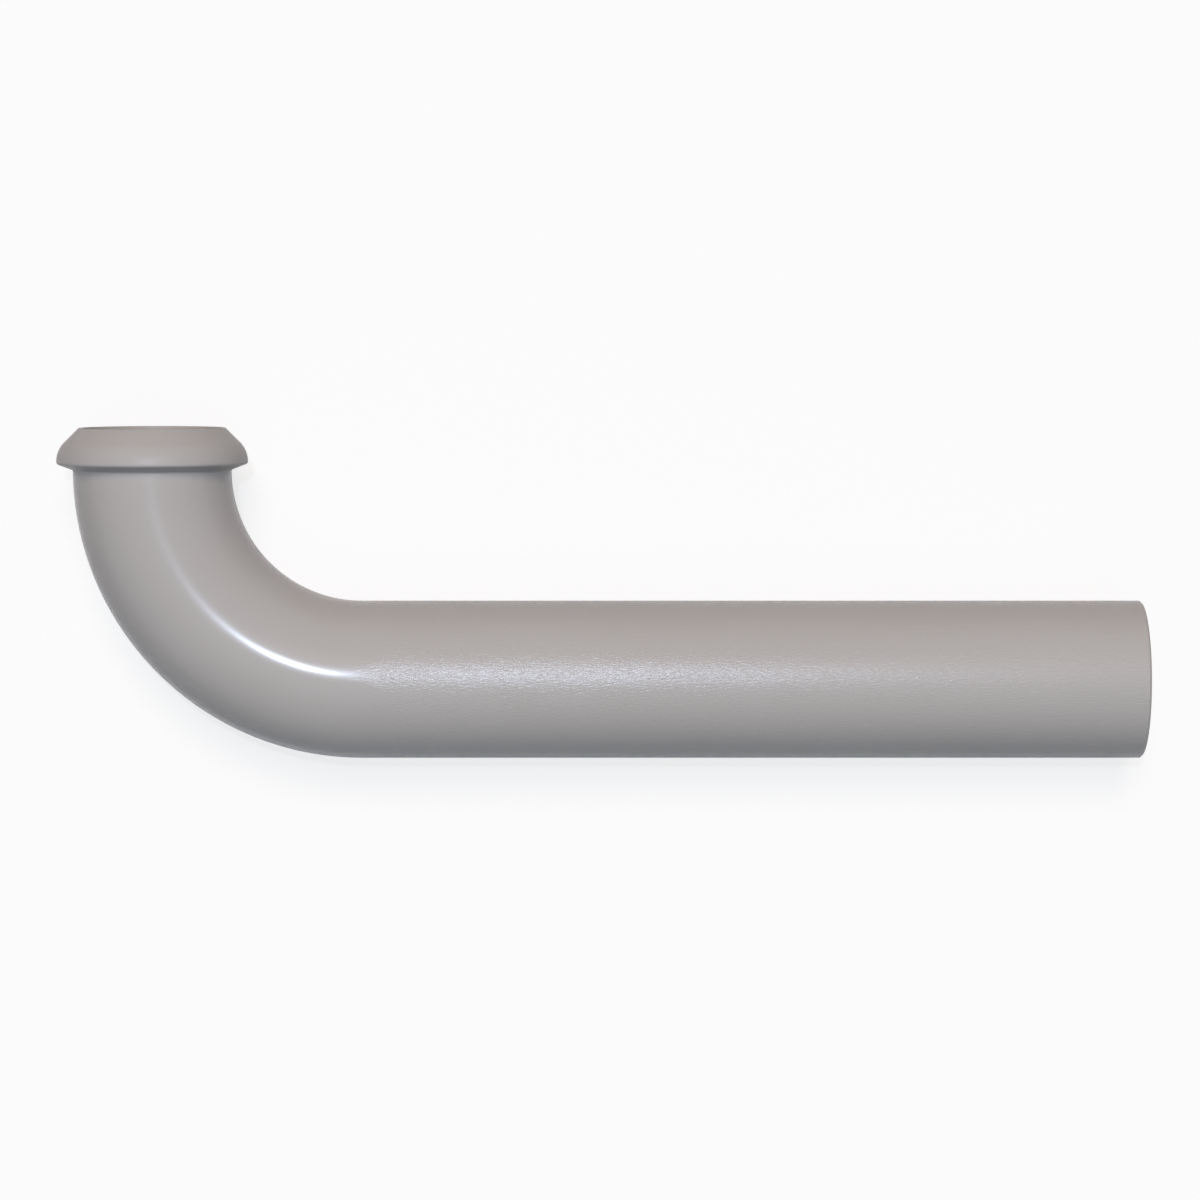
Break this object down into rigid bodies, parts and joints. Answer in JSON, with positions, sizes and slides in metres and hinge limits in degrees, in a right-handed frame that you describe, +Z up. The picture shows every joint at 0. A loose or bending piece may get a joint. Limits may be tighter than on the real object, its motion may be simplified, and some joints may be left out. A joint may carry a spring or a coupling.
{
  "type": "trap wall tube",
  "caption": "Moulded plastic waste tube: a straight run that slides into a wall fitting, a square bend, and a collar with a ground seat that a coupling nut pulls against the trap.",
  "frame": {"origin": "middle of the cut outlet end, on the axis of the straight run; the surface that the tube lies on is 19.05 mm below it", "axes": "+X along the run and out of the outlet, +Y the way the bend turns, towards the inlet, +Z up from the surface that the tube lies on"},
  "size_m": [0.2622, 0.0811, 0.0458],
  "materials": {
    "plastic": "satin"
  },
  "bodies": {
    "root": {"wall_tube": "plastic"}
  },
  "joints": []
}
